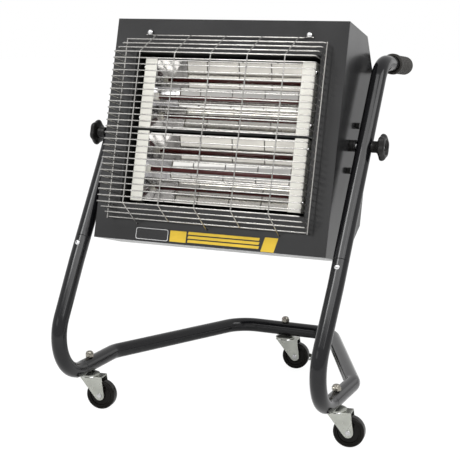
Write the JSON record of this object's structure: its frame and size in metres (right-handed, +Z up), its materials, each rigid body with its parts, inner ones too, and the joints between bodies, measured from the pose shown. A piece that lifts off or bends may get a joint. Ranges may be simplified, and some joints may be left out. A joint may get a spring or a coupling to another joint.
{
  "type": "infrared heater",
  "caption": "Tilting infrared cabinet heater with quartz lamps behind a wire guard, hung between the uprights of a tubular trolley on swivel castors.",
  "frame": {"origin": "on the floor, under the middle of the whole heater's bounding box", "axes": "+X to the viewer's right when facing the guard, +Y from front to back, +Z up; the guard faces -Y and leans 14.8 degrees back"},
  "size_m": [0.5256, 0.4823, 0.651],
  "materials": {
    "black_powder_coat": "satin dark grey powder coat on sheet steel",
    "grey_tube_coat": "semi-gloss dark grey powder coat on steel tube",
    "matt_black": "matt black heat paint on sheet steel",
    "white_end_plate": "white enamel on sheet steel",
    "polished_aluminium": "mirror-polished, slightly rippled",
    "ruby_quartz": "ruby-coated quartz glass with pale ceramic caps",
    "chrome_wire": "bright plated steel wire",
    "zinc_plate": "zinc-plated pressed steel",
    "yellow_zinc": "pale yellow passivated zinc plate",
    "bright_screw": "bright plated",
    "black_plastic": "moulded, lightly textured",
    "grip_rubber": "matt ribbed rubber",
    "wheel_plastic": "dense moulded wheel, satin",
    "plain_steel": "bare mild steel",
    "ceramic": null
  },
  "bodies": {
    "trolley": {"base_tube": "grey_tube_coat", "lower_upright_left": "grey_tube_coat", "lower_upright_right": "grey_tube_coat", "upper_upright_left": "grey_tube_coat", "upper_upright_right": "grey_tube_coat", "joint_screw_left": "bright_screw", "joint_screw_right": "bright_screw", "grip_left": "grip_rubber", "grip_right": "grip_rubber", "castor_stem_front_left": "zinc_plate", "castor_stem_front_right": "zinc_plate", "castor_stem_rear": "zinc_plate", "castor_nut_front_left": "yellow_zinc", "castor_nut_front_right": "yellow_zinc", "castor_nut_rear": "yellow_zinc"},
    "heater_head": {"front_panel": "black_powder_coat", "casing_wrap": "black_powder_coat", "side_panel_left": "black_powder_coat", "side_panel_right": "black_powder_coat", "lamp_tray": "matt_black", "divider_bar": "matt_black", "reflector_upper": "polished_aluminium", "reflector_lower": "polished_aluminium", "end_plate_upper_left": "white_end_plate", "end_plate_upper_right": "white_end_plate", "end_plate_lower_left": "white_end_plate", "end_plate_lower_right": "white_end_plate", "quartz_lamp_upper": "ruby_quartz", "quartz_lamp_lower": "ruby_quartz", "wire_guard": "chrome_wire", "guard_screw_left": "bright_screw", "guard_screw_right": "bright_screw", "pivot_bracket_left": "plain_steel", "pivot_bracket_right": "plain_steel", "pivot_spacer_left": "black_plastic", "pivot_spacer_right": "black_plastic", "panel_bolt_upper_left": "black_plastic", "panel_bolt_upper_right": "black_plastic", "panel_bolt_lower_left": "black_plastic", "panel_bolt_lower_right": "black_plastic", "switch_frame_1": "black_plastic", "switch_frame_2": "black_plastic", "cable_gland": "black_plastic", "gland_lock_nut": "black_plastic", "terminal_block": "ceramic"},
    "knob_left": {"clamp_knob_left": "black_plastic"},
    "knob_right": {"clamp_knob_right": "black_plastic"},
    "rocker_1": {"switch_rocker_1": "black_plastic"},
    "rocker_2": {"switch_rocker_2": "black_plastic"},
    "fork_front_left": {"castor_fork_front_left": "zinc_plate", "castor_axle_front_left": "bright_screw"},
    "wheel_front_left": {"castor_wheel_front_left": "wheel_plastic"},
    "fork_front_right": {"castor_fork_front_right": "zinc_plate", "castor_axle_front_right": "bright_screw"},
    "wheel_front_right": {"castor_wheel_front_right": "wheel_plastic"},
    "fork_rear": {"castor_fork_rear": "zinc_plate", "castor_axle_rear": "bright_screw"},
    "wheel_rear": {"castor_wheel_rear": "wheel_plastic"},
    "brake": {"brake_lever": "zinc_plate"}
  },
  "joints": [
    {"name": "head_tilt", "type": "hinge", "parent": "trolley", "child": "heater_head", "pos_m": [0, -0.03623, 0.458], "axis": [1, 0, 0], "range_deg": [-75, 60]},
    {"name": "knob_left_turn", "type": "hinge", "parent": "heater_head", "child": "knob_left", "pos_m": [-0.2365, -0.03623, 0.458], "axis": [-1, 0, 0], "range_deg": [0, 360]},
    {"name": "knob_right_turn", "type": "hinge", "parent": "heater_head", "child": "knob_right", "pos_m": [0.2365, -0.03623, 0.458], "axis": [1, 0, 0], "range_deg": [0, 360]},
    {"name": "castor_swivel_front_left", "type": "hinge", "parent": "trolley", "child": "fork_front_left", "pos_m": [-0.219, -0.13303, 0.0572], "axis": [0, 0, 1], "continuous": true},
    {"name": "wheel_roll_front_left", "type": "hinge", "parent": "fork_front_left", "child": "wheel_front_left", "pos_m": [-0.19712, -0.13069, 0.025], "axis": [-0.1063, 0.9943, 0], "continuous": true},
    {"name": "castor_swivel_front_right", "type": "hinge", "parent": "trolley", "child": "fork_front_right", "pos_m": [0.219, -0.13303, 0.0572], "axis": [0, 0, 1], "continuous": true},
    {"name": "wheel_roll_front_right", "type": "hinge", "parent": "fork_front_right", "child": "wheel_front_right", "pos_m": [0.24088, -0.13069, 0.025], "axis": [-0.1063, 0.9943, 0], "continuous": true},
    {"name": "castor_swivel_rear", "type": "hinge", "parent": "trolley", "child": "fork_rear", "pos_m": [0, 0.22348, 0.0572], "axis": [0, 0, 1], "continuous": true},
    {"name": "wheel_roll_rear", "type": "hinge", "parent": "fork_rear", "child": "wheel_rear", "pos_m": [0.02187, 0.22581, 0.025], "axis": [-0.1063, 0.9943, 0], "continuous": true},
    {"name": "brake_press", "type": "hinge", "parent": "fork_rear", "child": "brake", "pos_m": [0.02187, 0.22581, 0.025], "axis": [-0.1063, 0.9943, 0], "range_deg": [0, 15]},
    {"name": "rocker_1_press", "type": "hinge", "parent": "heater_head", "child": "rocker_1", "pos_m": [-0.017, 0.03858, 0.37411], "axis": [1, 0, 0], "range_deg": [-18, 0]},
    {"name": "rocker_2_press", "type": "hinge", "parent": "heater_head", "child": "rocker_2", "pos_m": [0.017, 0.03858, 0.37411], "axis": [1, 0, 0], "range_deg": [-18, 0]}
  ]
}
